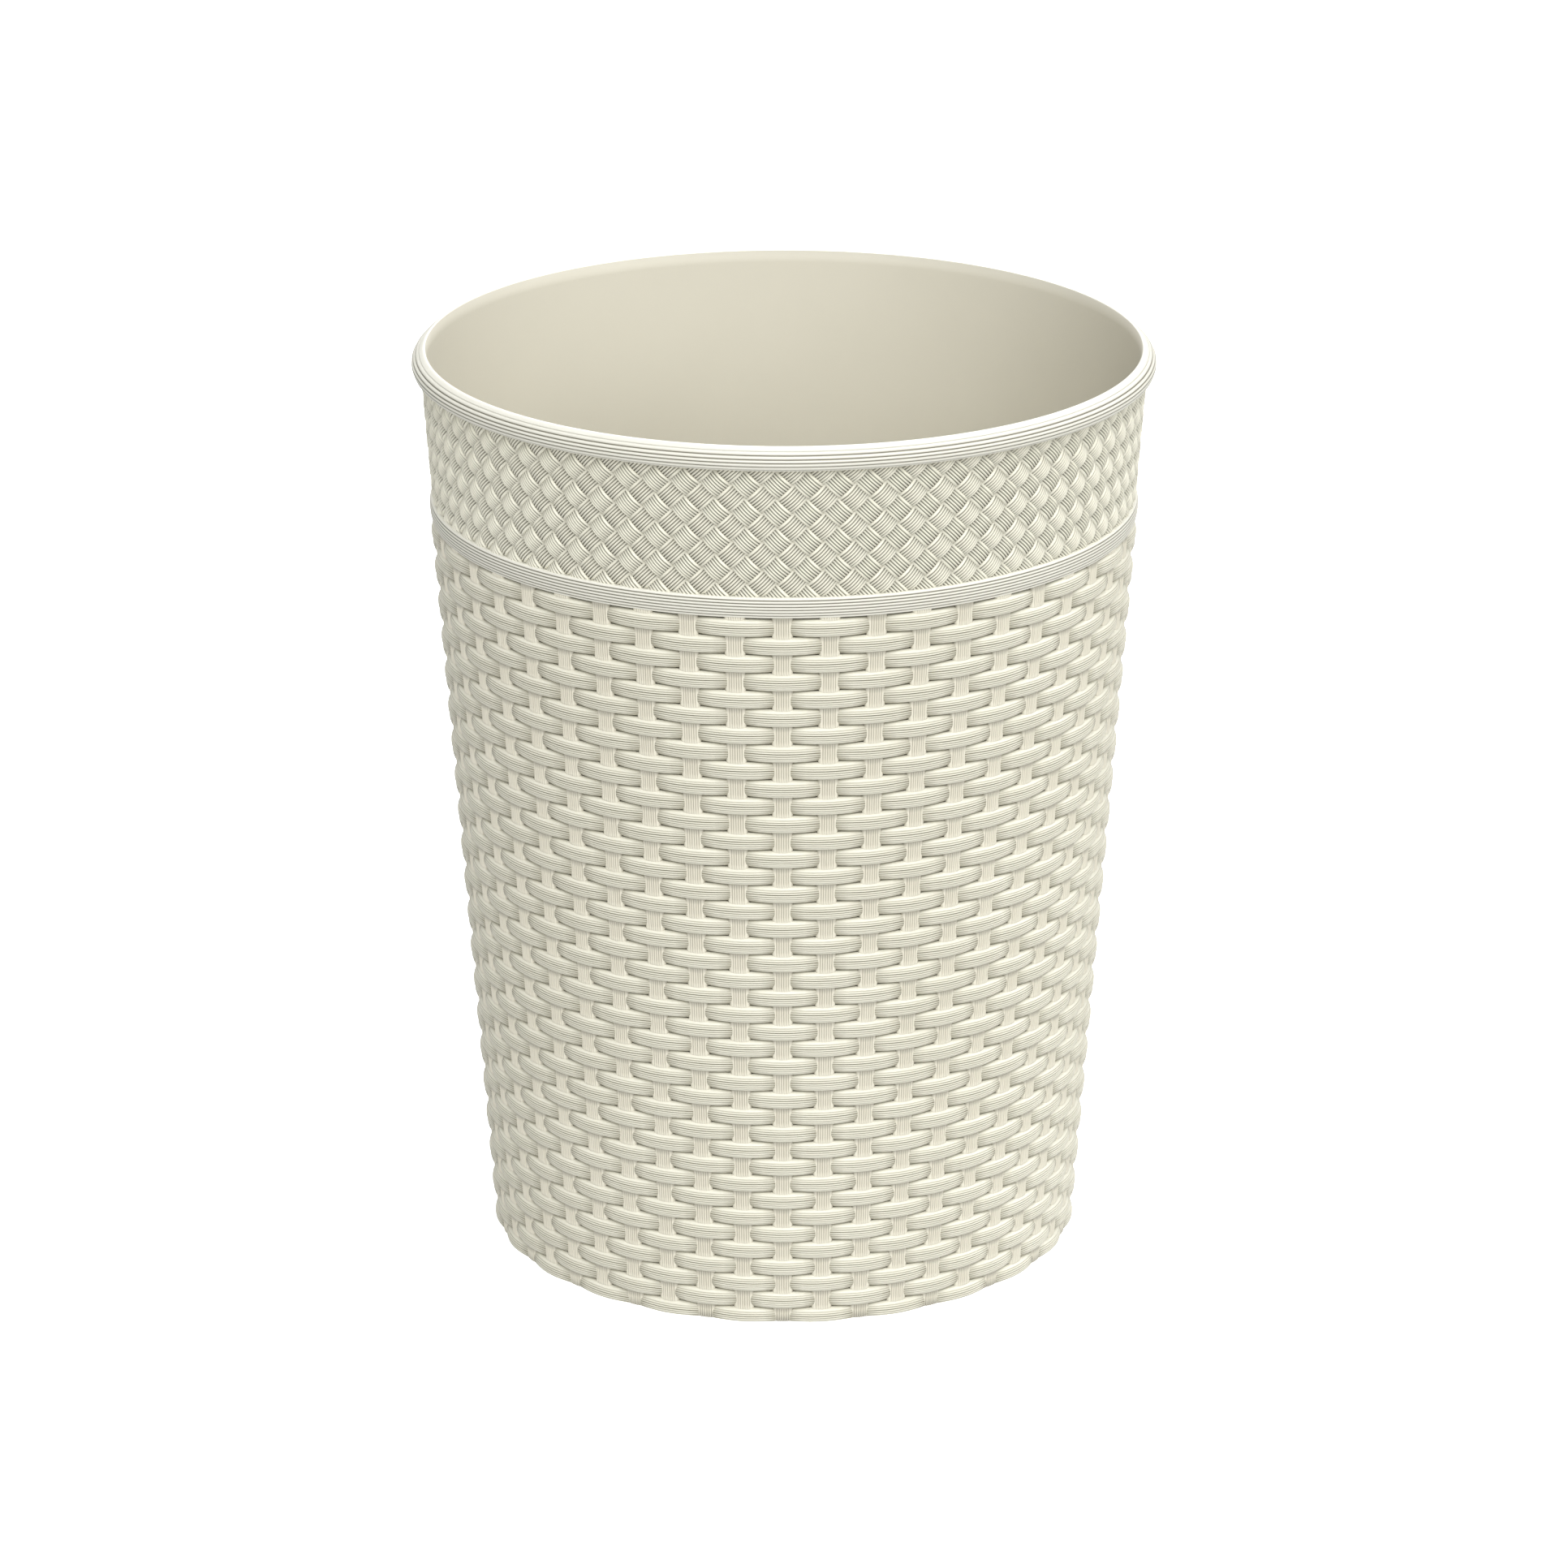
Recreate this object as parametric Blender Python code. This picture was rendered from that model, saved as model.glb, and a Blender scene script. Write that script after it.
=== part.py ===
"""Woven wastebasket: a smooth tapered liner inside a wall of vertical stakes and level weavers,
with a plaited band, a collar hoop and a rolled rim above it. Metres, +Z up, standing on z = 0."""

import math

import bmesh
import bpy

# Overall size
HEIGHT = 0.3265
RIM_RADIUS = 0.130

# The tapered wall: the mean radius of the woven face is WALL_FOOT + WALL_TAPER * z
WALL_FOOT = 0.10515
WALL_TAPER = 0.07093

# Weave
STAKES = 48
WEAVE_TURN = -0.0044
ROWS = 41
ROW_PITCH = 0.0065075
ROWS_TOP = 0.2659
WEAVER_HEIGHT = 0.0062
WEAVER_DEPTH = 0.0010
WEAVER_FRONT_OVER = 0.0004
WEAVER_FRONT_BEHIND = -0.00335
STAKE_WIDTH = 0.0070
STAKE_FRONT = -0.0009
STAKE_EDGE_FRONT = -0.0019
STAKE_BACK = -0.0022
STAKE_FOOT = 0.0003
STAKE_NECK = 0.2656
CAGE_HOOP_FRONT = -0.00145
CAGE_HOOP_LOW = 0.2661
CAGE_HOOP_TOP = 0.2726
LEVELS = {"foot": STAKE_FOOT, "neck": STAKE_NECK, "low": CAGE_HOOP_LOW, "top": CAGE_HOOP_TOP}

# Plaited band and collar
PLAIT_COUNT = 76
PLAIT_PITCH = 0.01007
PLAIT_CENTRE = 0.31272
PLAIT_TURN = -0.0182
BAND_LOW = 0.27365
BAND_TOP = 0.3174
BAND_FACE = -0.00150
BAND_BULGE = 0.00070
BAND_BACK = -0.00190
COLLAR_LOW = 0.2662
COLLAR_TOP = 0.2733

# Liner
SIDES = 64
LINER_TOP = 0.3226
LINER_TOP_RADIUS = 0.1260
LINER_BEND = 0.2640
LINER_GAP = 0.0048
LINER_WALL = 0.0010
FLOOR_TOP = 0.0020
FLOOR_COVE = 0.0048


def wall(z):
    return WALL_FOOT + WALL_TAPER * z


def collection(name):
    made = bpy.data.collections.new(name)
    bpy.context.scene.collection.children.link(made)
    return made


def plastic(name, colour, roughness):
    made = bpy.data.materials.new(name)
    made.use_nodes = True
    shader = made.node_tree.nodes["Principled BSDF"]
    shader.inputs["Base Color"].default_value = (*colour, 1.0)
    shader.inputs["Roughness"].default_value = roughness
    made.diffuse_color = (*colour, 1.0)
    return made


def add(name, bm, home, material, angle=30.0):
    bmesh.ops.recalc_face_normals(bm, faces=bm.faces)
    mesh = bpy.data.meshes.new(name)
    bm.to_mesh(mesh)
    bm.free()
    made = bpy.data.objects.new(name, mesh)
    home.objects.link(made)
    mesh.materials.append(material)
    mesh.shade_smooth()
    mesh.set_sharp_from_angle(angle=math.radians(angle))
    return made


def ring(profile, sides=SIDES):
    """A closed ring: profile is a closed loop of (radius, height)."""
    bm = bmesh.new()
    loops = []
    for i in range(sides):
        turn = 2 * math.pi * i / sides
        loops.append([bm.verts.new((r * math.sin(turn), -r * math.cos(turn), z)) for r, z in profile])
    for i in range(sides):
        here, there = loops[i], loops[(i + 1) % sides]
        for j in range(len(profile)):
            k = (j + 1) % len(profile)
            bm.faces.new((here[j], there[j], there[k], here[k]))
    return bm


def bucket(outer, inner, sides=SIDES):
    """A cup: outer and inner are lines of (radius, height) from the middle of the floor to the lip."""
    bm = bmesh.new()
    line = outer + inner[::-1]
    loops = []
    for i in range(sides):
        turn = 2 * math.pi * i / sides
        loops.append([bm.verts.new((r * math.sin(turn), -r * math.cos(turn), z)) for r, z in line])
    for i in range(sides):
        here, there = loops[i], loops[(i + 1) % sides]
        for j in range(len(line) - 1):
            bm.faces.new((here[j], there[j], there[j + 1], here[j + 1]))
    bm.faces.new([loop[0] for loop in loops])
    bm.faces.new([loop[-1] for loop in loops])
    return bm


def liner_outer(z):
    """Parallel to the woven wall below the bend, then a straight run out to the lip."""
    low = wall(LINER_BEND) - LINER_GAP
    if z <= LINER_BEND:
        return wall(z) - LINER_GAP
    return low + (LINER_TOP_RADIUS - low) * (z - LINER_BEND) / (LINER_TOP - LINER_BEND)


def make_liner(home, material):
    outer = [(liner_outer(0.0) - 0.0010, 0.0), (liner_outer(0.0010), 0.0010)]
    outer += [(liner_outer(z), z) for z in (LINER_BEND, LINER_TOP)]
    inner = [(liner_outer(FLOOR_TOP) - LINER_WALL - 0.0030, FLOOR_TOP)]
    inner += [(liner_outer(FLOOR_COVE) - LINER_WALL, FLOOR_COVE)]
    inner += [(liner_outer(z) - LINER_WALL, z) for z in (LINER_BEND, LINER_TOP)]
    add("liner", bucket(outer, inner), home, material)


def make_rim(home, material):
    lip = LINER_TOP_RADIUS - LINER_WALL
    shade = LINER_TOP + 0.0003
    profile = [
        (lip, shade),
        (lip, HEIGHT - 0.0003),
        (lip + 0.0004, HEIGHT),
        (lip + 0.0018, HEIGHT - 0.0005),
        (lip + 0.0034, HEIGHT - 0.0020),
        (lip + 0.0045, HEIGHT - 0.0036),
        (RIM_RADIUS, HEIGHT - 0.0052),
        (RIM_RADIUS - 0.0003, HEIGHT - 0.0070),
        (lip + 0.0030, HEIGHT - 0.0087),
        (lip + 0.0022, HEIGHT - 0.0087),
        (lip + 0.0014, HEIGHT - 0.0075),
        (lip + 0.0014, shade),
    ]
    add("rim_ring", ring(profile), home, material)


def make_collar(home, material):
    middle = (COLLAR_LOW + COLLAR_TOP) / 2
    profile = [
        (wall(COLLAR_LOW) - 0.0009, COLLAR_LOW),
        (wall(COLLAR_LOW) - 0.0003, COLLAR_LOW),
        (wall(middle) + 0.0003, middle),
        (wall(COLLAR_TOP) - 0.0003, COLLAR_TOP),
        (wall(COLLAR_TOP) - 0.0009, COLLAR_TOP),
    ]
    add("collar_hoop", ring(profile), home, material)


def make_cage(home, material):
    """Stakes on one hoop behind the collar: three lines per stake, at its edges and its crown."""
    bm = bmesh.new()
    lines = []
    for i in range(STAKES):
        for side in (-1, 0, 1):
            line = {}
            for key, z in LEVELS.items():
                turn = WEAVE_TURN + 2 * math.pi * i / STAKES + side * STAKE_WIDTH / 2 / wall(z)
                front = wall(z) + (STAKE_FRONT if side == 0 else STAKE_EDGE_FRONT)
                if key in ("low", "top"):
                    front = wall(z) + CAGE_HOOP_FRONT
                for face, r in (("front", front), ("back", wall(z) + STAKE_BACK)):
                    line[key, face] = bm.verts.new((r * math.sin(turn), -r * math.cos(turn), z))
            lines.append(line)
    count = len(lines)
    for i in range(count):
        a, b = lines[i], lines[(i + 1) % count]
        bm.faces.new((a["low", "front"], b["low", "front"], b["top", "front"], a["top", "front"]))
        bm.faces.new((a["low", "back"], b["low", "back"], b["top", "back"], a["top", "back"]))
        bm.faces.new((a["top", "front"], b["top", "front"], b["top", "back"], a["top", "back"]))
        if i % 3 == 2:
            bm.faces.new((a["low", "front"], b["low", "front"], b["low", "back"], a["low", "back"]))
            for under, over in (("foot", "neck"), ("neck", "low")):
                for edge in (a, b):
                    corners = ((under, "front"), (over, "front"), (over, "back"), (under, "back"))
                    bm.faces.new([edge[corner] for corner in corners])
            continue
        for under, over in (("foot", "neck"), ("neck", "low")):
            for face in ("front", "back"):
                bm.faces.new((a[under, face], b[under, face], b[over, face], a[over, face]))
        bm.faces.new((a["foot", "front"], b["foot", "front"], b["foot", "back"], a["foot", "back"]))
    add("stake_cage", bm, home, material, 20.0)


def make_weaver(row, home, material):
    """One half-round strip closed into a ring, over the stakes of its own parity and behind the rest."""
    centre = ROWS_TOP - (row - 0.5) * ROW_PITCH
    low = max(centre - WEAVER_HEIGHT / 2, STAKE_FOOT)
    high = centre + WEAVER_HEIGHT / 2
    bm = bmesh.new()
    loops = []
    for i in range(STAKES):
        turn = WEAVE_TURN + 2 * math.pi * i / STAKES
        over = (i + row) % 2 == 0
        front = WEAVER_FRONT_OVER if over else WEAVER_FRONT_BEHIND
        loop = []
        for z, depth in ((low, WEAVER_DEPTH), ((low + high) / 2, 0.0), (high, WEAVER_DEPTH)):
            r = wall(z) + front - depth
            loop.append(bm.verts.new((r * math.sin(turn), -r * math.cos(turn), z)))
        loops.append(loop)
    for i in range(STAKES):
        here, there = loops[i], loops[(i + 1) % STAKES]
        for j in range(3):
            k = (j + 1) % 3
            bm.faces.new((here[j], there[j], there[k], here[k]))
    add(f"weaver_{row:02d}", bm, home, material, 20.0)


def make_band(home, material):
    """A diagonal plait in relief: diamonds whose corners lie on the band and whose centres stand out."""
    half = PLAIT_PITCH / 2
    columns = 2 * PLAIT_COUNT
    low, high = BAND_LOW + 0.0012, BAND_TOP - 0.0012
    levels = [n for n in range(-9, 3) if low < PLAIT_CENTRE + n * half < high]
    heights = [BAND_LOW] + [PLAIT_CENTRE + n * half for n in levels] + [BAND_TOP]
    bm = bmesh.new()
    lines = []
    for i in range(columns):
        turn = PLAIT_TURN + math.pi * i / PLAIT_COUNT
        line = []
        for j, z in enumerate(heights):
            raised = 0 < j < len(heights) - 1 and (i + levels[j - 1]) % 2 == 0
            r = wall(z) + BAND_FACE + (BAND_BULGE if raised else 0.0)
            line.append(bm.verts.new((r * math.sin(turn), -r * math.cos(turn), z)))
        for z in (BAND_TOP, BAND_LOW):
            r = wall(z) + BAND_BACK
            line.append(bm.verts.new((r * math.sin(turn), -r * math.cos(turn), z)))
        lines.append(line)
    for i in range(columns):
        here, there = lines[i], lines[(i + 1) % columns]
        for j in range(len(heights) - 1):
            corner = j > 0 and (i + levels[j - 1]) % 2 == 1
            corner = corner or (j == 0 and (i + levels[0] - 1) % 2 == 1)
            if corner:
                bm.faces.new((here[j], there[j], there[j + 1]))
                bm.faces.new((here[j], there[j + 1], here[j + 1]))
            else:
                bm.faces.new((here[j], there[j], here[j + 1]))
                bm.faces.new((there[j], there[j + 1], here[j + 1]))
        top = len(heights) - 1
        for j in (top, top + 1):
            bm.faces.new((here[j], there[j], there[j + 1], here[j + 1]))
        bm.faces.new((here[top + 2], there[top + 2], there[0], here[0]))
    add("plaited_band", bm, home, material, 12.0)


def main():
    for thing in list(bpy.data.objects):
        bpy.data.objects.remove(thing)
    home = collection("wastebasket")
    smooth = plastic("liner_plastic", (0.72, 0.69, 0.57), 0.55)
    woven = plastic("reed_plastic", (0.86, 0.83, 0.69), 0.45)
    trim = plastic("trim_plastic", (0.88, 0.86, 0.73), 0.40)
    make_liner(home, smooth)
    make_rim(home, trim)
    make_band(home, woven)
    make_collar(home, trim)
    make_cage(home, woven)
    for row in range(1, ROWS + 1):
        make_weaver(row, home, woven)


main()
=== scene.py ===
"""The looks of the woven wastebasket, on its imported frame. Metres, +Z up; the front is -Y."""

import math

import bmesh
import bpy
import numpy as np
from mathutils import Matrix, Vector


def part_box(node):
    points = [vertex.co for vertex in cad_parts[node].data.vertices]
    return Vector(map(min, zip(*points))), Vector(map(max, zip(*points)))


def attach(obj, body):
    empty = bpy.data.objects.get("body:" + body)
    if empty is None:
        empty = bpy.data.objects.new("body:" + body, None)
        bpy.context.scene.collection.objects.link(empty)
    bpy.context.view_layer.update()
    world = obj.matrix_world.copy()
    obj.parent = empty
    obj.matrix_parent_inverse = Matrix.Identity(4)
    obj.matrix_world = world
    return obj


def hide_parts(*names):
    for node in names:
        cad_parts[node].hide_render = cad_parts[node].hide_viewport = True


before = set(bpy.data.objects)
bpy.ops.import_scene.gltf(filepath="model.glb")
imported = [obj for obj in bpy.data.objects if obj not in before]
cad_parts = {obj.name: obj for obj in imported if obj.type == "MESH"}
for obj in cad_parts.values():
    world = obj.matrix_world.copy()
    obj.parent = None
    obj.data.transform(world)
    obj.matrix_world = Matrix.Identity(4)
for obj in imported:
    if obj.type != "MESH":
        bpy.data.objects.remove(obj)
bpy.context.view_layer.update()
MM = 0.001
TAU = 2 * math.pi

# The wall, as in the CAD: the mean radius of the woven face is FOOT + TAPER * z
FOOT = 0.10515
TAPER = 0.07093
LEAN = math.hypot(1.0, TAPER)

# The weave: counts, row heights, and the half width, depth and squareness of each kind of strip
STAKES = 48
ROWS = 41
ROW_PITCH = 0.0065075
ROW_TWO = 0.25537
WEAVE_TURN = -0.0044
WEAVER_HALF = 3.22 * MM
WEAVER_DEEP = 3.00 * MM
WEAVER_SQUARE = 2.5
WEAVER_LINES = (0.65, 0.85, 0.90, 1.20, 0.80, 0.60)
# A weaver's crown stands WEAVER_OVER off the wall over a stake, and falls by about WEAVER_DIP on
# its way to the next, which it goes behind
WEAVER_OVER = 0.60 * MM
WEAVER_DIP = 2.04 * MM
STAKE_HALF = 3.56 * MM
STAKE_DEEP = 1.50 * MM
STAKE_SQUARE = 2.5
STAKE_CROWN = -0.55 * MM
STAKE_TOP = 0.2690

# How much shade is painted on a weaver: at a line's bottom, towards its ends and in a crevice
WEAVER_LINE_SHADE = 0.9
WEAVER_END_SHADE = 0.9
WEAVER_CREVICE_SHADE = 0.92
# The same for a stake: shade painted at a line's bottom, where weavers cover it, and on its edges
STAKE_LINE_SHADE = 0.50
STAKE_COVER_SHADE = 0.9
STAKE_EDGE_SHADE = 0.35

# How far apart neighbouring strips read the noise of their streaks
WEAVER_SHIFT = 3.7
STAKE_SHIFT = 5.3
PLAIT_SHIFT = 0.71

# The lines pressed into a strip: how many, their pitch and depths, and the section of one line
# (place in pitches, share of its depth)
REED_LINES = 6
REED_RIB = 0.83 * MM
WEAVER_GROOVE = 0.68 * MM
STAKE_GROOVE = 0.50 * MM
GROOVE = ((-0.34, 0.03), (-0.16, 0.50), (0.0, 1.0), (0.16, 0.50), (0.34, 0.03))

# The plaited band: strands each way, and the height of one over and under, which is two crossings
PLAITS = 76
PLAIT_PITCH = 0.01007
PLAIT_CENTRE = 0.31272
PLAIT_TURN = -0.0182
PLAIT_HALF = 3.56 * MM
PLAIT_RIB = 1.03 * MM
PLAIT_DEEP = 1.15 * MM
PLAIT_SQUARE = 2.4
PLAIT_CROWN = -0.75 * MM
PLAIT_SWING = 0.97 * MM
PLAIT_GROOVE = 0.80 * MM
BAND_LOW = 0.2722
BAND_TOP = 0.3192

# Collar and rim: the grooves between their beads
COLLAR_LOW = 0.26585
COLLAR_TOP = 0.27330
COLLAR_GROOVES = 6
COLLAR_PITCH = 1.115 * MM
BEAD_DEEP = 0.60 * MM
BEAD_EDGE = 0.55 * MM

# The liner
RIM_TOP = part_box("rim_ring")[1].z
MOUTH = 0.1250
LINER_BEND = 0.264
LINER_SOFT = 0.006
LINER_GAP = 4.8 * MM
LINER_WALL = 1.0 * MM
FLOOR_TOP = 0.0020
FLOOR_COVE = 0.0028

# The light: azimuth from the front towards the right and height above the floor, in degrees, then
# power. The powers, SKY and BOUNCE are a least-squares fit to the photo's brightness, rounded;
# they were not chosen by hand.
LAMPS = (
    ("key", 0, 45, 0.97),
    ("front", 0, 15, 0.61),
    ("left", -35, 30, 0.26),
    ("right", 35, 45, 0.44),
    ("right_low", 35, 20, 0.20),
    ("side", 70, 20, 0.30),
    ("side_back", 110, 30, 0.85),
    ("top", 0, 75, 0.36),
    ("back", 180, 40, 1.58),
)
LAMP_SPREAD = math.radians(26)
SKY = 0.395
BOUNCE = 0.67

# The camera
CAMERA_AT = (0.0, -2.0963, 0.91857)
CAMERA_TILT = 0.34601
CAMERA_LENS = 142.98


def wall(z):
    return FOOT + TAPER * z


def liner_skin(z):
    """Radius of the liner's outer face: parallel to the weave below the bend, and leaning out
    more above it."""
    low = wall(LINER_BEND) - LINER_GAP
    steep = (MOUTH + LINER_WALL - low) / (RIM_TOP - LINER_BEND)
    rise = (z - LINER_BEND) / LINER_SOFT
    soft = LINER_SOFT * np.where(rise > 30, rise, np.log1p(np.exp(np.minimum(rise, 30))))
    return low + TAPER * (z - LINER_BEND) + (steep - TAPER) * soft


# ---------------------------------------------------------------- meshes


def outward(points, quads):
    """1 if the quads' normals point out of the strip, or -1 if the quads have to be reversed."""
    a, b, c, d = np.moveaxis((points - points.mean(0))[quads], 1, 0)
    return 1 if (a * (np.cross(b, c) + np.cross(c, d))).sum() > 0 else -1


def build(name, points, ends_meet, material, strip):
    """Makes one object of strips. points is (strips, along, round, 3). A strip is closed round its
    section, and its ends either meet or are capped. strip is the same size: place along and across
    the strip in metres, and shade, the share of painted shade at the point from 0 to 1, which
    darkens it in lines, crevices and other places where shade falls."""
    strips, nu, nv = points.shape[:3]
    u, v = np.meshgrid(np.arange(nu if ends_meet else nu - 1), np.arange(nv), indexing="ij")
    u2, v2 = (u + 1) % nu, (v + 1) % nv
    quad = np.stack([u * nv + v, u2 * nv + v, u2 * nv + v2, u * nv + v2], -1).reshape(-1, 4)
    quads = (quad[None] + (np.arange(strips) * nu * nv)[:, None, None]).reshape(-1, 4)
    order = outward(points[0].reshape(-1, 3), quad)
    corners, starts = quads[:, ::order].ravel(), np.arange(len(quads)) * 4
    if not ends_meet:
        first = np.arange(strips)[:, None] * nu * nv + np.arange(nv)[None]
        caps = np.concatenate([first, first[:, ::-1] + (nu - 1) * nv])[:, ::order]
        starts = np.concatenate([starts, len(corners) + np.arange(len(caps)) * nv])
        corners = np.concatenate([corners, caps.ravel()])
    mesh = bpy.data.meshes.new(name)
    mesh.vertices.add(strips * nu * nv)
    mesh.vertices.foreach_set("co", points.astype(np.float32).ravel())
    mesh.loops.add(len(corners))
    mesh.loops.foreach_set("vertex_index", corners.astype(np.int32))
    mesh.polygons.add(len(starts))
    mesh.polygons.foreach_set("loop_start", starts.astype(np.int32))
    mesh.update(calc_edges=True)
    mesh.validate()
    mesh.shade_smooth()
    data = mesh.attributes.new("strip", "FLOAT_VECTOR", "POINT").data
    data.foreach_set("vector", strip.astype(np.float32).ravel())
    mesh.materials.append(material)
    made = bpy.data.objects.new(name, mesh)
    bpy.context.scene.collection.objects.link(made)
    return made


def place(turn, z, normal, sideways, up):
    """Points off the wall. turn and z say where on it; normal, sideways and up are offsets."""
    sine, cosine = np.sin(turn), np.cos(turn)
    r = wall(z) + (normal + TAPER * up) / LEAN
    x = r * sine + sideways * cosine
    y = -r * cosine + sideways * sine
    return np.stack([x, y, z + (up - TAPER * normal) / LEAN + 0 * r], -1)


def clear_of_liner(points):
    """Hidden backs of the strips stay outside the liner."""
    r = np.hypot(points[..., 0], points[..., 1])
    least = liner_skin(points[..., 2]) + 0.1 * MM
    grow = np.maximum(r, least) / r
    points[..., 0] *= grow
    points[..., 1] *= grow
    return points


def reed(half, deep, rib, square, shoulder=4, weights=(1.0,) * REED_LINES):
    """Half-round section of a ribbed strip. The answer has six rows over its points: across, height
    from the crown, which way a line is pressed in (across, height), place along the section, and
    share of a line's depth."""
    angle = np.linspace(0, math.pi / 2, 400)
    across = half * np.sin(angle) ** (2 / square)
    drop = deep * (np.maximum(np.cos(angle), 0) ** (2 / square) - 1)
    arc = np.concatenate([[0], np.cumsum(np.hypot(np.diff(across), np.diff(drop)))])
    marks = []
    for k in range(REED_LINES):
        centre = (k - (REED_LINES - 1) / 2) * rib
        marks += [(centre + side * rib, press * weights[k]) for side, press in GROOVE]
    edge = marks[-1][0] + 0.15 * rib
    ends = edge + (arc[-1] - edge) * np.linspace(0, 1, shoulder + 1)
    marks = [(-e, 0.0) for e in ends[::-1]] + marks + [(e, 0.0) for e in ends]
    place_at = np.array([m[0] for m in marks])
    size, way = np.abs(place_at), np.sign(place_at)
    nx = np.interp(size, arc, -np.gradient(drop, arc))
    nh = np.interp(size, arc, np.gradient(across, arc))
    length = np.hypot(nx, nh)
    x, h = np.interp(size, arc, across), np.interp(size, arc, drop)
    return np.array([way * x, h, -way * nx / length, -nh / length, place_at, [m[1] for m in marks]])


def grooved(section, depth):
    """The section with its lines pressed to depth: across, height, place along it, and share of
    the deepest line."""
    across, drop, push_x, push_h, arc, line = section
    press = line * depth
    share = press / np.max(depth)
    return across + push_x * press, drop + push_h * press, arc + 0 * depth, share


def strip_data(*values):
    """The strip attribute's three values for every point."""
    return np.stack(np.broadcast_arrays(*values), -1)


def stations(repeats, offset, spots):
    """Angles round the basket. spots are shares of one repeat, from a crossing over a stake."""
    base = np.arange(repeats)[:, None] * TAU / repeats
    return (offset + base + np.asarray(spots)[None] * TAU / repeats).ravel()


# ---------------------------------------------------------------- materials


def nodes_of(name):
    material = bpy.data.materials.new(name)
    material.use_nodes = True
    tree = material.node_tree
    return material, tree, tree.nodes["Principled BSDF"]


def plastic(name, pale, deep, rough, grain, fibre=None, line=None):
    """Moulded plastic. pale and deep are the two ends of its slow colour drift. On a strip, fibre
    is the strength of the streaks along it, and line the painted shade colour, blended in by the
    strip's shade value at the bottoms of its lines and wherever else shade is painted."""
    material, tree, shader = nodes_of(name)
    new, link = tree.nodes.new, tree.links.new
    space = new("ShaderNodeTexCoord")
    drift = new("ShaderNodeTexNoise")
    drift.inputs["Scale"].default_value = 14.0
    drift.inputs["Detail"].default_value = 3.0
    link(space.outputs["Object"], drift.inputs["Vector"])
    ramp = new("ShaderNodeValToRGB")
    ramp.color_ramp.elements[0].position = 0.30
    ramp.color_ramp.elements[0].color = (*deep, 1)
    ramp.color_ramp.elements[1].position = 0.70
    ramp.color_ramp.elements[1].color = (*pale, 1)
    link(drift.outputs["Fac"], ramp.inputs["Fac"])
    fine = new("ShaderNodeTexNoise")
    fine.inputs["Scale"].default_value = 1500.0
    fine.inputs["Detail"].default_value = 2.0
    link(space.outputs["Object"], fine.inputs["Vector"])
    height = fine.outputs["Fac"]
    colour = ramp.outputs["Color"]
    if fibre:
        strip = new("ShaderNodeAttribute")
        strip.attribute_name = "strip"
        stretch = new("ShaderNodeMapping")
        stretch.inputs["Scale"].default_value = (60.0, 2600.0, 1.0)
        link(strip.outputs["Vector"], stretch.inputs["Vector"])
        thread = new("ShaderNodeTexNoise")
        thread.inputs["Scale"].default_value = 1.0
        thread.inputs["Detail"].default_value = 2.0
        link(stretch.outputs["Vector"], thread.inputs["Vector"])
        blend = new("ShaderNodeMix")
        blend.data_type = "RGBA"
        blend.blend_type = "MULTIPLY"
        blend.inputs["Factor"].default_value = fibre
        link(colour, blend.inputs["A"])
        streak = new("ShaderNodeValToRGB")
        streak.color_ramp.elements[0].position = 0.35
        streak.color_ramp.elements[0].color = (0.78, 0.76, 0.72, 1)
        streak.color_ramp.elements[1].position = 0.62
        streak.color_ramp.elements[1].color = (1, 1, 1, 1)
        link(thread.outputs["Fac"], streak.inputs["Fac"])
        link(streak.outputs["Color"], blend.inputs["B"])
        colour = blend.outputs["Result"]
        parts = new("ShaderNodeSeparateXYZ")
        link(strip.outputs["Vector"], parts.inputs["Vector"])
        # Painted shade: the colour is blended towards line by the strip's shade value
        painted_shade = new("ShaderNodeMix")
        painted_shade.data_type = "RGBA"
        link(parts.outputs["Z"], painted_shade.inputs["Factor"])
        link(colour, painted_shade.inputs["A"])
        painted_shade.inputs["B"].default_value = (*line, 1)
        colour = painted_shade.outputs["Result"]
        both = new("ShaderNodeMath")
        both.operation = "ADD"
        link(thread.outputs["Fac"], both.inputs[0])
        link(fine.outputs["Fac"], both.inputs[1])
        height = both.outputs["Value"]
    link(colour, shader.inputs["Base Color"])
    dull = new("ShaderNodeMapRange")
    dull.inputs["From Min"].default_value = 0.25
    dull.inputs["From Max"].default_value = 0.75
    dull.inputs["To Min"].default_value = rough - 0.05
    dull.inputs["To Max"].default_value = rough + 0.07
    link(fine.outputs["Fac"], dull.inputs["Value"])
    link(dull.outputs["Result"], shader.inputs["Roughness"])
    bump = new("ShaderNodeBump")
    bump.inputs["Strength"].default_value = grain
    bump.inputs["Distance"].default_value = 0.0002
    link(height, bump.inputs["Height"])
    link(bump.outputs["Normal"], shader.inputs["Normal"])
    shader.inputs["IOR"].default_value = 1.46
    return material


# Base colours of the weavers, stakes, plait, trim (collar and rim) and liner, each in its pale and
# its deep end
IVORY = (0.828, 0.812, 0.698)
IVORY_DEEP = (0.803, 0.786, 0.670)
WARM = (0.834, 0.801, 0.674)
WARM_DEEP = (0.809, 0.775, 0.646)
CREAM = (0.884, 0.865, 0.735)
CREAM_DEEP = (0.864, 0.843, 0.711)
PALE = (0.848, 0.836, 0.750)
PALE_DEEP = (0.828, 0.815, 0.726)
# The liner's: darker than the rest, partly its own tone and partly painted shade inside the basket
LINER_TONE_AND_SHADE = (0.638, 0.611, 0.516)
LINER_TONE_AND_SHADE_DEEP = (0.618, 0.591, 0.496)
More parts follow.
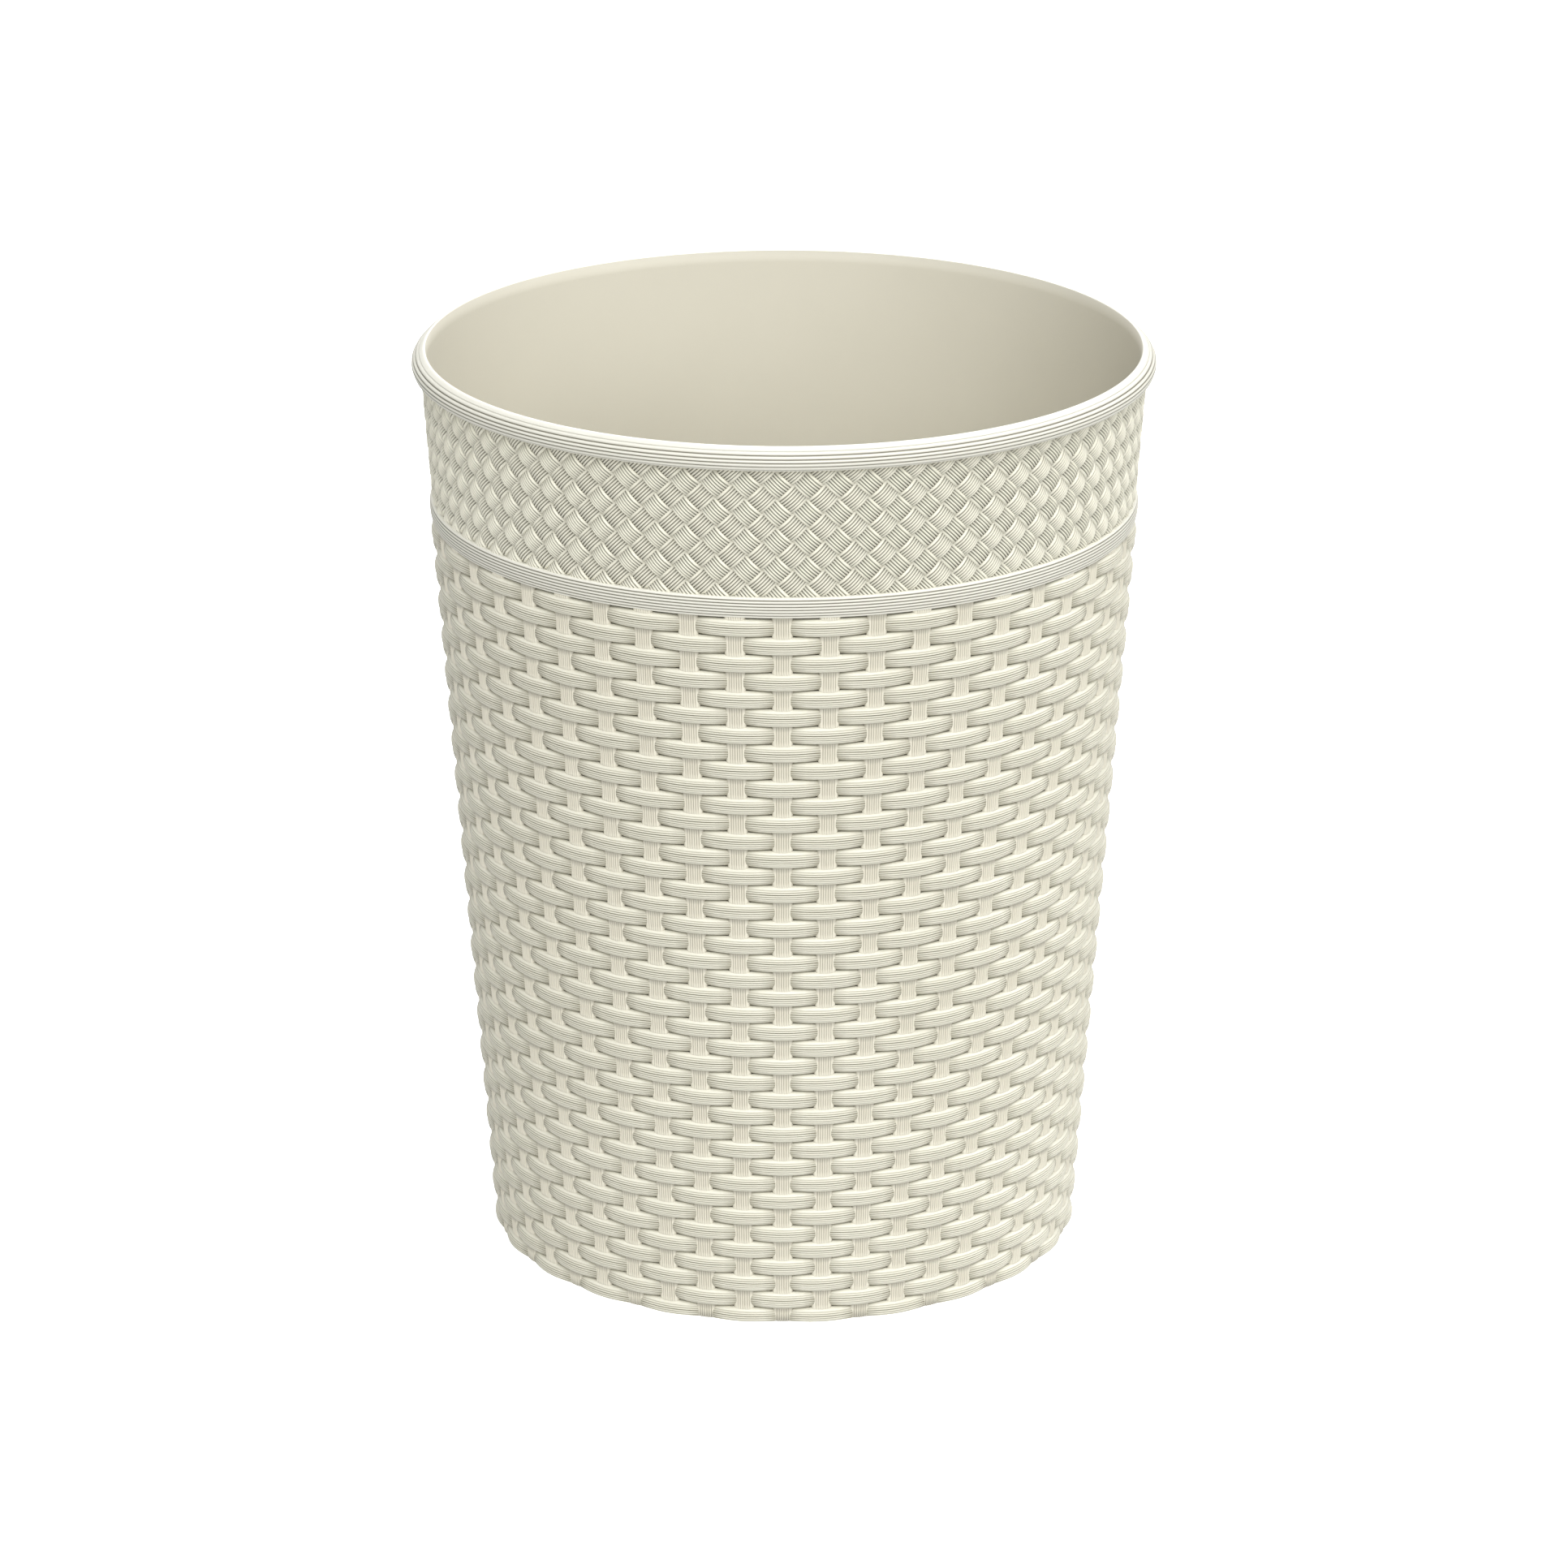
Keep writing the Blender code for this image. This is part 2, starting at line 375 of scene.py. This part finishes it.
# The painted shade colours, which each strip's colour darkens towards at the bottoms of its
# pressed lines and wherever else shade is painted on it
WEAVER_SHADE_COLOUR = (0.165, 0.142, 0.070)
STAKE_SHADE_COLOUR = (0.15, 0.138, 0.103)
PLAIT_SHADE_COLOUR = (0.080, 0.074, 0.054)
TRIM_SHADE_COLOUR = (0.22, 0.205, 0.150)
weaver_look = plastic("weaver_look", IVORY, IVORY_DEEP, 0.40, 0.10, 0.3, WEAVER_SHADE_COLOUR)
stake_look = plastic("stake_look", WARM, WARM_DEEP, 0.40, 0.10, 0.3, STAKE_SHADE_COLOUR)
plait_look = plastic("plait_look", CREAM, CREAM_DEEP, 0.50, 0.08, 0.15, PLAIT_SHADE_COLOUR)
trim_look = plastic("trim_look", PALE, PALE_DEEP, 0.45, 0.06, 0.1, TRIM_SHADE_COLOUR)
liner_look = plastic("liner_look", LINER_TONE_AND_SHADE, LINER_TONE_AND_SHADE_DEEP, 0.60, 0.12)


# ---------------------------------------------------------------- pieces


def finish_piece(piece, slot, *nodes):
    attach(piece, "root")
    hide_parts(*nodes)


def weavers():
    """Level rows, each over every second stake. Where a row dives behind the next stake, its lines
    run out and shade is painted on it; shade is painted in its lines and crevices too."""
    section = reed(WEAVER_HALF, WEAVER_DEEP, REED_RIB, WEAVER_SQUARE, weights=WEAVER_LINES)
    # 0 is over a stake, and 0.5 is behind the next
    near = [0.05, 0.15, 0.25, 0.34, 0.41, 0.435]
    spots = np.array([-spot for spot in near[::-1]] + near + [0.5])
    dip = np.where(abs(spots) > 0.42, 1.06, (2 * spots) ** 2)
    dip[-1] = 1.3
    fade = np.interp(abs(spots), [0.25, 0.34, 0.41, 0.435], [1.0, 0.65, 0.10, 0.0])
    # Painted shade towards a row's ends, where it goes behind a stake
    ends = np.interp(abs(spots), [0.27, 0.43], [0.0, 0.4])
    dip, fade, ends = (np.tile(v, STAKES // 2)[:, None] for v in (dip, fade, ends))
    across, drop, arc, _ = grooved(section, WEAVER_GROOVE * fade)
    level = WEAVER_OVER - WEAVER_DIP * dip + drop
    # Painted shade in crevices, growing as the surface falls back below the crown
    clear = np.interp(across, [-1.0 * MM, 1.0 * MM], [0.2 * MM, 1.1 * MM])
    crevice = 0.70 * np.clip((-level - clear) / (2.0 * MM), 0, 1)
    shade = 1 - (1 - WEAVER_LINE_SHADE * section[5] ** 1.3) * (1 - WEAVER_END_SHADE * ends) * (
        1 - WEAVER_CREVICE_SHADE * crevice
    )
    for row in range(1, ROWS + 1):
        z = ROW_TWO + (2 - row) * ROW_PITCH
        t = stations(STAKES // 2, WEAVE_TURN + (row % 2) * TAU / STAKES, spots)[:, None]
        points = clear_of_liner(place(t, np.full_like(t, z), level, 0.0 * t, across))
        points[..., 2] = np.maximum(points[..., 2], 0.0)
        strip = strip_data(t * wall(z) + row * WEAVER_SHIFT, arc, shade)
        piece = build(f"weaver_look_{row:02d}", points[None], True, weaver_look, strip[None])
        finish_piece(piece, "reed_plastic", f"weaver_{row:02d}")


def stakes():
    """Stakes, each in front of every second weaver. A stake's lines run out just above the weaver
    below."""
    section = reed(STAKE_HALF, STAKE_DEEP, REED_RIB, STAKE_SQUARE)
    # height above a row in millimetres, share of the lines' depth, and the shade painted there
    shape = (
        (3.8, 0.3, 0.6),
        (2.7, 0.9, 0.3),
        (1.6, 1.0, 0.0),
        (-2.0, 1.0, 0.0),
        (-2.9, 0.7, 0.0),
        (-3.7, 0.0, 0.2),
    )
    for odd in range(2):
        # Full lines at the foot and the top; shade is painted at the top, under the collar
        found = {0.0: (0.9, 0.0), STAKE_TOP: (0.9, 0.5)}
        for row in range(1 - odd, ROWS + 2, 2):
            for rise, fade, painted_shade in shape:
                height = ROW_TWO + (2 - row) * ROW_PITCH + rise * MM
                if 0.0005 < height < STAKE_TOP - 0.0005:
                    found[height] = (fade, painted_shade)
        z = np.array(sorted(found))[None, :, None]
        fades, painted_shade = np.array([found[height] for height in z.ravel()]).T[:, :, None]
        across, drop, arc, line = grooved(section, STAKE_GROOVE * fades)
        # Painted shade along the stake's edges, where the weavers meet it
        edge = np.clip((abs(across) - 2.9 * MM) / (0.6 * MM), 0, 1)
        shade = 1 - (1 - STAKE_LINE_SHADE * line**1.3) * (1 - STAKE_COVER_SHADE * painted_shade) * (
            1 - STAKE_EDGE_SHADE * edge
        )
        for half in range(2):
            number = odd + 2 * np.arange(half * STAKES // 4, (half + 1) * STAKES // 4)
            number = number[:, None, None]
            t = WEAVE_TURN + number * TAU / STAKES + 0 * z
            normal = STAKE_CROWN + drop[None] + 0 * t
            points = place(t, z + 0 * t, normal, across[None] + 0 * t, 0.0)
            strip = strip_data(z + number * STAKE_SHIFT, arc[None], shade[None])
            piece = build(f"stakes_look_{2 * odd + half + 1}", points, False, stake_look, strip)
            finish_piece(piece, "reed_plastic", "stake_cage")


def plait():
    """Strands at about 45 degrees, over one and under one. The two ways differ by half a wave."""
    section = reed(PLAIT_HALF, PLAIT_DEEP, PLAIT_RIB, PLAIT_SQUARE, shoulder=3)
    across, drop, arc, line = grooved(section, np.array([[PLAIT_GROOVE]]))
    step = math.pi / PLAITS
    flat = (wall(PLAIT_CENTRE - 0.012) - 2 * MM) * step
    slant = PLAIT_PITCH / 2 * LEAN
    length = math.hypot(flat, slant)
    for lean, name in ((1, "plait_right_look"), (-1, "plait_left_look")):
        over = 0 if lean == 1 else 1
        spots = []
        for crossing in range(-12, 13):
            near = (-0.50, -0.34, -0.12, 0.12, 0.34, 0.50) if (crossing - over) % 2 == 0 else (0.0,)
            spots += [crossing + s for s in near]
        spots = np.array(spots)
        height = PLAIT_CENTRE - lean * spots * PLAIT_PITCH / 2
        keep = (height > BAND_LOW - 0.004) & (height < BAND_TOP + 0.004)
        spots, height = spots[keep], height[keep]
        crown = PLAIT_CROWN - PLAIT_SWING + PLAIT_SWING * np.cos((spots - over) * math.pi)
        # Painted shade in the lines and towards a strand's ends, where it goes under its neighbour
        ends = np.interp(abs((spots - over + 1) % 2 - 1), [0.25, 0.48], [0.0, 0.35])[:, None]
        shade = 1 - (1 - line**1.5) * (1 - ends)
        # across the strip, in the wall's plane: at right angles to (flat, -lean * slant)
        side = across[None] * slant / length
        rise = across[None] * lean * flat / length
        for half in range(2):
            number = np.arange(half * PLAITS // 2, (half + 1) * PLAITS // 2)[:, None, None]
            t = PLAIT_TURN + number * TAU / PLAITS + spots[None, :, None] * step
            z = np.broadcast_to(height[None, :, None], t.shape)
            normal = crown[None, :, None] + drop[None] + 0 * t
            points = clear_of_liner(place(t, z, normal, side + 0 * t, rise + 0 * t))
            points[..., 2] = np.clip(points[..., 2], BAND_LOW, BAND_TOP)
            distance = spots[None, :, None] * length + number * PLAIT_SHIFT
            strip = strip_data(distance, arc[None], shade[None])
            piece = build(f"{name}_{half + 1}", points, False, plait_look, strip)
            finish_piece(piece, "reed_plastic", "plaited_band")


def revolve(name, profile, material, steps=288):
    """Turns a closed profile, a list of (radius, height, painted shade in a line from 0 to 1)."""
    # deep here is the painted shade of each profile point
    radius, height, deep = np.array(profile).T[:, None]
    turn = (np.arange(steps) * TAU / steps)[:, None]
    points = np.stack([radius * np.sin(turn), -radius * np.cos(turn), height + 0 * turn], -1)
    arc = np.concatenate([[0], np.cumsum(np.hypot(np.diff(radius[0]), np.diff(height[0])))])
    strip = strip_data(turn * MOUTH, arc[None], deep)
    return build(name, points[None], True, material, strip[None])


def weld(mesh):
    """Joins the points that meet on the axis."""
    work = bmesh.new()
    work.from_mesh(mesh)
    bmesh.ops.remove_doubles(work, verts=work.verts, dist=1e-6)
    work.to_mesh(mesh)
    work.free()


def smooth_line(points, step=0.05 * MM):
    """A Catmull-Rom curve through the points, sampled evenly by length."""
    p = np.array(points, float)
    p = np.concatenate([[2 * p[0] - p[1]], p, [2 * p[-1] - p[-2]]])
    s = np.linspace(0, 1, 40, endpoint=False)[:, None]
    found = []
    for a, b, c, d in zip(p[:-3], p[1:-2], p[2:-1], p[3:]):
        square, cube = 2 * a - 5 * b + 4 * c - d, 3 * b - a - 3 * c + d
        found.append(0.5 * (2 * b + (c - a) * s + square * s**2 + cube * s**3))
    found = np.concatenate(found + [p[-2][None]])
    arc = np.concatenate([[0], np.cumsum(np.hypot(*np.diff(found, axis=0).T))])
    even = np.linspace(0, arc[-1], int(arc[-1] / step) + 1)
    return np.stack([np.interp(even, arc, found[:, k]) for k in (0, 1)], -1), even


def beaded(line, arc, grooves, weights):
    """Rounds a line into beads that meet at the grooves, which are lengths along it; weights are
    their shares of the full depth. The outer beads fade out over BEAD_EDGE. Gives a profile,
    with painted shade in the grooves."""
    tangent = np.gradient(line, arc, axis=0)
    normal = np.stack([-tangent[:, 1], tangent[:, 0]], -1)
    normal /= np.linalg.norm(normal, axis=1)[:, None]
    gaps = np.diff([grooves[0] - 2 * BEAD_EDGE] + grooves + [grooves[-1] + 2 * BEAD_EDGE]) / 2
    first, last = grooves[0] - BEAD_EDGE, grooves[-1] + BEAD_EDGE
    marks = {0.0, arc[-1]} | {m for m in np.arange(0, arc[-1], 0.3 * MM) if m < first or m > last}
    press_at = {}
    for k, g in enumerate(grooves):
        for way, half in ((-1, gaps[k]), (1, gaps[k + 1])):
            for share in (0.0, 0.05, 0.15, 0.32, 0.6, 1.0):
                mark = round(float(g + way * share * half), 8)
                if 0 < mark < arc[-1]:
                    press_at[mark] = weights[k] * (1 - math.sqrt(1 - (1 - share) ** 2))
    marks = np.array(sorted(marks | set(press_at)))
    press = np.array([press_at.get(m, 0.0) for m in marks])
    out = [np.interp(marks, arc, line[:, k]) for k in (0, 1)]
    push = [np.interp(marks, arc, normal[:, k]) for k in (0, 1)]
    radius, height = (out[k] + push[k] * press * BEAD_DEEP for k in (0, 1))
    # The third value is painted shade, darkest in the grooves
    return list(zip(radius, height, np.minimum(1.0, press * 1.7)))


def rim():
    """The rolled rim. Its path and grooves are (radius, height) in millimetres, and the outer
    grooves are shallower."""
    path = [(125.02, 326.30), (125.35, 326.50), (126.10, 326.30), (127.00, 325.65)]
    path += [(128.40, 324.50), (129.50, 323.10), (129.95, 321.75)]
    path += [(129.75, 320.40), (129.20, 319.30), (128.20, 318.60)]
    line, arc = smooth_line([(r * MM, z * MM) for r, z in path[::-1]])
    lines = [(129.05, 319.15), (129.74, 320.36), (129.95, 321.73)]
    lines += [(129.55, 322.95), (128.65, 324.20), (127.45, 325.28)]
    grooves = []
    for r, z in lines:
        near = np.hypot(line[:, 0] - r * MM, line[:, 1] - z * MM).argmin()
        grooves.append(arc[near])
    profile = beaded(line, arc, grooves, [0.7, 0.9, 1.0, 1.0, 1.0, 0.4])
    inside = [(r * MM, z * MM, 0) for r, z in ((125.06, 325.6), (125.06, 318.6), (126.4, 318.3))]
    piece = revolve("rim_look", profile + inside, trim_look)
    finish_piece(piece, "trim_plastic", "rim_ring")


def collar():
    """The flat hoop. Its path is the same above and below its middle: offset from the wall in
    millimetres, and distance from the edge in metres."""
    half = [(-1.9, 0.0), (-0.75, 0.0001), (-0.25, 0.0006), (0.10, 0.0020)]
    path = [(offset, COLLAR_LOW + inset) for offset, inset in half]
    path += [(0.20, (COLLAR_LOW + COLLAR_TOP) / 2)]
    path += [(offset, COLLAR_TOP - inset) for offset, inset in half[::-1]]
    line, arc = smooth_line([(wall(z) + r * MM, z) for r, z in path])
    places = np.arange(COLLAR_GROOVES) - (COLLAR_GROOVES - 1) / 2
    grooves = [arc[-1] / 2 + k * COLLAR_PITCH for k in places]
    profile = beaded(line, arc, grooves, [1.0] * COLLAR_GROOVES)
    piece = revolve("collar_look", profile, trim_look)
    finish_piece(piece, "trim_plastic", "collar_hoop")


def liner():
    """The smooth bucket: a flat floor, a rounded corner, and a wall between the two skins."""
    corner_top = FLOOR_TOP + FLOOR_COVE
    z = np.concatenate([
        np.linspace(corner_top, 0.24, 16),
        np.linspace(0.245, 0.300, 23),
        np.linspace(0.305, RIM_TOP - 0.15 * MM, 6),
    ])
    inner = list(zip(liner_skin(z) - LINER_WALL, z))
    corner = []
    for a in np.linspace(0, math.pi / 2, 6)[1:]:
        radius = inner[0][0] - FLOOR_COVE * (1 - math.cos(a))
        corner.append((radius, corner_top - FLOOR_COVE * math.sin(a)))
    top = [(0.0, FLOOR_TOP), (0.02, FLOOR_TOP), (0.06, FLOOR_TOP)]
    under = [(0.0, 0.0), (0.06, 0.0), (liner_skin(0.0) - LINER_WALL, 0.0)]
    outer = under + list(zip(liner_skin(z) - 0.05 * MM, z))
    profile = [(r, h, 0) for r, h in top + corner[::-1] + inner + outer[::-1]]
    piece = revolve("liner_look", profile, liner_look, 192)
    weld(piece.data)
    finish_piece(piece, "liner_plastic", "liner")


liner()
rim()
collar()
plait()
stakes()
weavers()

# ---------------------------------------------------------------- stage


def studio():
    """The world, a white floor, the lamps and the camera. The floor neither blocks nor gives
    light: BOUNCE, the world's lower half, stands in for it. SKY is the upper half."""
    scene = bpy.context.scene
    scene.view_settings.view_transform = "Standard"
    scene.view_settings.look = "None"
    world = bpy.data.worlds.new("studio")
    scene.world = world
    world.use_nodes = True
    tree = world.node_tree
    space = tree.nodes.new("ShaderNodeTexCoord")
    split = tree.nodes.new("ShaderNodeSeparateXYZ")
    sky = tree.nodes.new("ShaderNodeMapRange")
    sky.interpolation_type = "SMOOTHSTEP"
    sky.inputs["From Min"].default_value = -0.1
    sky.inputs["From Max"].default_value = 0.1
    sky.inputs["To Min"].default_value = BOUNCE
    sky.inputs["To Max"].default_value = SKY
    tree.links.new(space.outputs["Generated"], split.inputs["Vector"])
    tree.links.new(split.outputs["Z"], sky.inputs["Value"])
    tree.links.new(sky.outputs["Result"], tree.nodes["Background"].inputs["Strength"])
    tree.nodes["Background"].inputs["Color"].default_value = (1.0, 1.0, 1.0, 1)

    mesh = bpy.data.meshes.new("floor")
    side = 40.0
    corners = [(-side, -side, 0), (side, -side, 0), (side, side, 0), (-side, side, 0)]
    mesh.from_pydata(corners, [], [(0, 1, 2, 3)])
    floor = bpy.data.objects.new("floor", mesh)
    scene.collection.objects.link(floor)
    white, tree, shader = nodes_of("floor_white")
    shader.inputs["Base Color"].default_value = (0.9, 0.9, 0.9, 1)
    shader.inputs["Roughness"].default_value = 0.9
    shader.inputs["Emission Color"].default_value = (1, 1, 1, 1)
    shader.inputs["Emission Strength"].default_value = 0.8
    mesh.materials.append(white)
    floor.visible_diffuse = False
    floor.visible_glossy = False
    floor.visible_shadow = False

    for name, azimuth, height, power in LAMPS:
        data = bpy.data.lights.new(name, "SUN")
        data.energy = power
        data.angle = LAMP_SPREAD
        made = bpy.data.objects.new(name, data)
        made.rotation_euler = (math.radians(90 - height), 0.0, math.radians(azimuth))
        scene.collection.objects.link(made)

    data = bpy.data.cameras.new("camera")
    data.sensor_width = 36.0
    data.lens = CAMERA_LENS
    data.clip_start, data.clip_end = 0.05, 100.0
    camera = bpy.data.objects.new("camera", data)
    camera.location = CAMERA_AT
    camera.rotation_euler = (math.pi / 2 - CAMERA_TILT, 0.0, 0.0)
    scene.collection.objects.link(camera)
    scene.camera = camera


studio()
